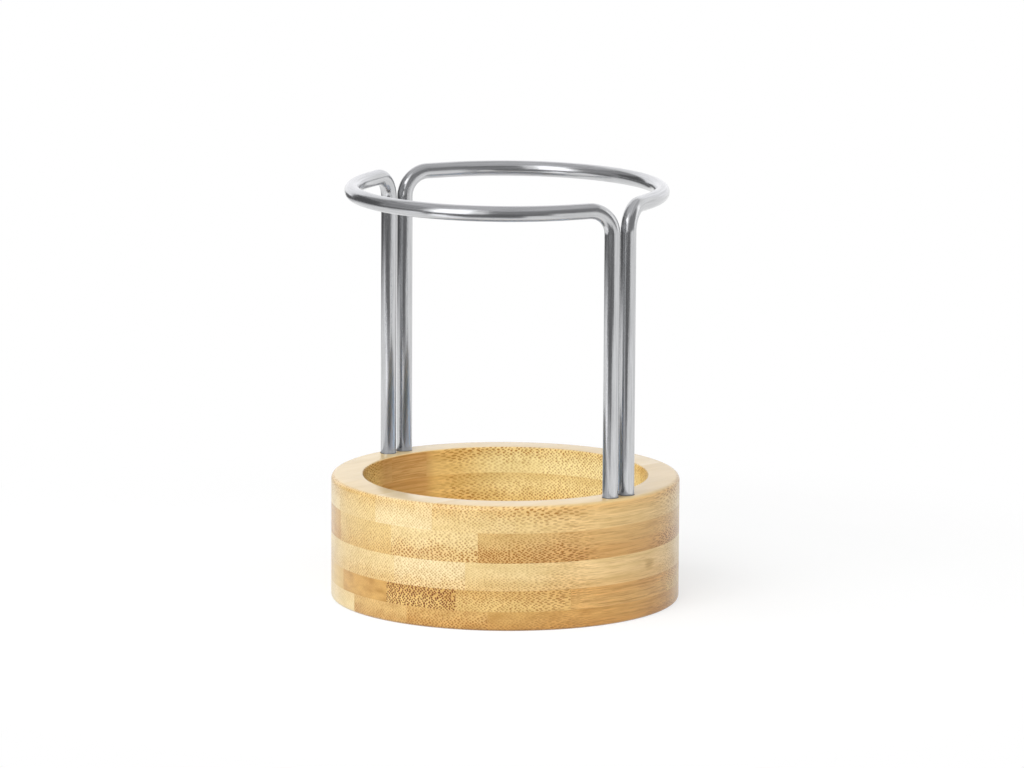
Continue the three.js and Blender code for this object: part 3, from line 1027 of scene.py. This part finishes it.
def heading(studio, turn):
    """A level direction, turned from the camera's to its right by an angle in degrees."""
    angle = studio.azimuth + math.radians(turn)
    return Vector((math.sin(angle), -math.cos(angle), 0))


def screen(name, studio, profile, start, end, level):
    """A grey screen round the table, which only gloss sees: its profile, turned from start to end."""
    points, faces = [], []
    steps = math.ceil((end - start) / SCREEN_STEP)
    for i in range(steps + 1):
        ray = heading(studio, start + (end - start) * i / steps)
        points += [ray * distance + Vector((0, 0, height)) for distance, height in profile]
    size = len(profile)
    for i in range(steps):
        for j in range(size - 1):
            first = i * size + j
            faces.append((first, first + 1, first + size + 1, first + size))
    mesh = bpy.data.meshes.new(name)
    mesh.from_pydata(points, [], faces)
    made = bpy.data.objects.new(name, mesh)
    bpy.context.scene.collection.objects.link(made)
    made.data.materials.append(glow_material(name, level))
    made.visible_camera = False
    made.visible_diffuse = False
    made.visible_transmission = False
    made.visible_shadow = False


def soft_box(name, studio, turn, rise, distance, size, power, shines):
    """A rectangular lamp that faces the holder."""
    lamp = bpy.data.lights.new(name, "AREA")
    lamp.shape = "RECTANGLE"
    lamp.size, lamp.size_y = size
    lamp.energy = power
    box = bpy.data.objects.new(name, lamp)
    bpy.context.scene.collection.objects.link(box)
    rise = math.radians(rise)
    away = heading(studio, turn) * math.cos(rise) + Vector((0, 0, math.sin(rise)))
    box.location = Vector((0, 0, LAMP_AIM)) + away * distance
    box.rotation_mode = "QUATERNION"
    box.rotation_quaternion = away.to_track_quat("Z", "Y")
    box.visible_glossy = shines


class PENHOLDER_OT_camera(bpy.types.Operator):
    """Sets the camera up at the front of the holder, low and from the right"""

    bl_idname = "penholder.camera"
    bl_label = "Camera"

    def execute(self, context):
        studio = context.scene.pen_holder_studio
        lens = bpy.data.cameras.new("Camera")
        camera = bpy.data.objects.new("Camera", lens)
        context.scene.collection.objects.link(camera)
        back = heading(studio, 0) * math.cos(studio.elevation) + Vector((0, 0, math.sin(studio.elevation)))
        right = Vector((0, 0, 1)).cross(back).normalized()
        turn = Matrix.Rotation(studio.roll, 3, back)
        right, up = turn @ right, turn @ back.cross(right)
        place = Vector((0, 0, studio.aim_height)) + back * studio.distance
        turned = Matrix((right, up, back)).transposed().to_4x4()
        camera.matrix_world = Matrix.Translation(place) @ turned
        lens.lens = studio.lens
        lens.shift_x, lens.shift_y = studio.shift_x, studio.shift_y
        lens.clip_start, lens.clip_end = CLIPPING
        context.scene.camera = camera
        return {"FINISHED"}


class PENHOLDER_OT_studio(bpy.types.Operator):
    """Lays the white floor and sets the soft lights up"""

    bl_idname = "penholder.studio"
    bl_label = "Studio"

    def execute(self, context):
        scene = context.scene
        studio = scene.pen_holder_studio
        scene.view_settings.view_transform = "Standard"
        bpy.ops.object.select_all(action="DESELECT")
        bpy.ops.mesh.primitive_plane_add(size=FLOOR_SIZE, location=(0, 0, 0))
        floor = context.object
        floor.name = "floor"
        floor.data.materials.append(floor_material())
        studio_world(studio)
        for name, turn, rise, distance, size, share, shines in LAMPS:
            soft_box(name, studio, turn, rise, distance, size, studio.key * share, shines)
        for name, profile, first, last, level in SCREENS:
            screen(name, studio, profile, first, last, level)
        return {"FINISHED"}


class PENHOLDER_OT_ply(bpy.types.Operator):
    """Turns the strips of one ply of the bamboo cup"""

    bl_idname = "penholder.ply"
    bl_label = "Ply"

    ply: EnumProperty(
        name="Ply",
        description="Which ply of the cup",
        items=[(name, name.replace("_", " ").capitalize(), "") for name in PLIES],
    )

    def execute(self, context):
        scene = context.scene
        cup_piece = turned_cup(scene.pen_holder_cup, scene.pen_holder_rods)
        for node in sorted(frame["nodes"]):
            if node.startswith(self.ply):
                number = int(node.removeprefix(self.ply + "_strip_").split("_")[0])
                piece = strip_piece(cup_piece, node)
                finish_piece(piece, bamboo_material(self.ply, number), node)
        bpy.data.objects.remove(cup_piece)
        return {"FINISHED"}


class PENHOLDER_OT_rods(bpy.types.Operator):
    """Bends the two steel rods"""

    bl_idname = "penholder.rods"
    bl_label = "Rods"

    def execute(self, context):
        rods = context.scene.pen_holder_rods
        front = bent_rod(rods)
        pick(front)
        bpy.ops.object.duplicate()
        back = context.object
        back.name = "bent_back_rod"
        back.data.name = back.name
        back.rotation_euler.z = math.pi
        for piece, node in ((front, "front_rod"), (back, "back_rod")):
            finish_piece(piece, steel_material(), node)
            mark_drawing_lines(piece, rods, piece is back)
        return {"FINISHED"}


class PENHOLDER_PT_sidebar(bpy.types.Panel):
    """The holder's steps and sizes"""

    bl_idname = "PENHOLDER_PT_sidebar"
    bl_label = "Pen Holder"
    bl_space_type = "VIEW_3D"
    bl_region_type = "UI"
    bl_category = "Pen Holder"

    def draw(self, context):
        column = self.layout.column(align=True)
        column.operator("penholder.camera")
        column.operator("penholder.studio")
        for ply in PLIES:
            column.operator("penholder.ply", text=ply.replace("_", " ").capitalize()).ply = ply
        column.operator("penholder.rods")
        for name in SETTINGS:
            group = getattr(context.scene, name)
            box = self.layout.box()
            for key in group.bl_rna.properties.keys():
                if key not in ("rna_type", "name"):
                    box.prop(group, key)


CLASSES = (
    *SETTINGS.values(),
    PENHOLDER_OT_camera,
    PENHOLDER_OT_studio,
    PENHOLDER_OT_ply,
    PENHOLDER_OT_rods,
    PENHOLDER_PT_sidebar,
)


def register():
    """Makes the panel, the steps and the sizes known to Blender."""
    for cls in CLASSES:
        bpy.utils.register_class(cls)
    for name, cls in SETTINGS.items():
        setattr(bpy.types.Scene, name, PointerProperty(type=cls))


def unregister():
    """Takes them out again."""
    for name in SETTINGS:
        delattr(bpy.types.Scene, name)
    for cls in reversed(CLASSES):
        bpy.utils.unregister_class(cls)


def main():
    """Builds the holder and its studio."""
    register()
    bpy.ops.penholder.camera()
    bpy.ops.penholder.studio()
    for ply in PLIES:
        bpy.ops.penholder.ply(ply=ply)
    bpy.ops.penholder.rods()


if __name__ == "__main__":
    main()
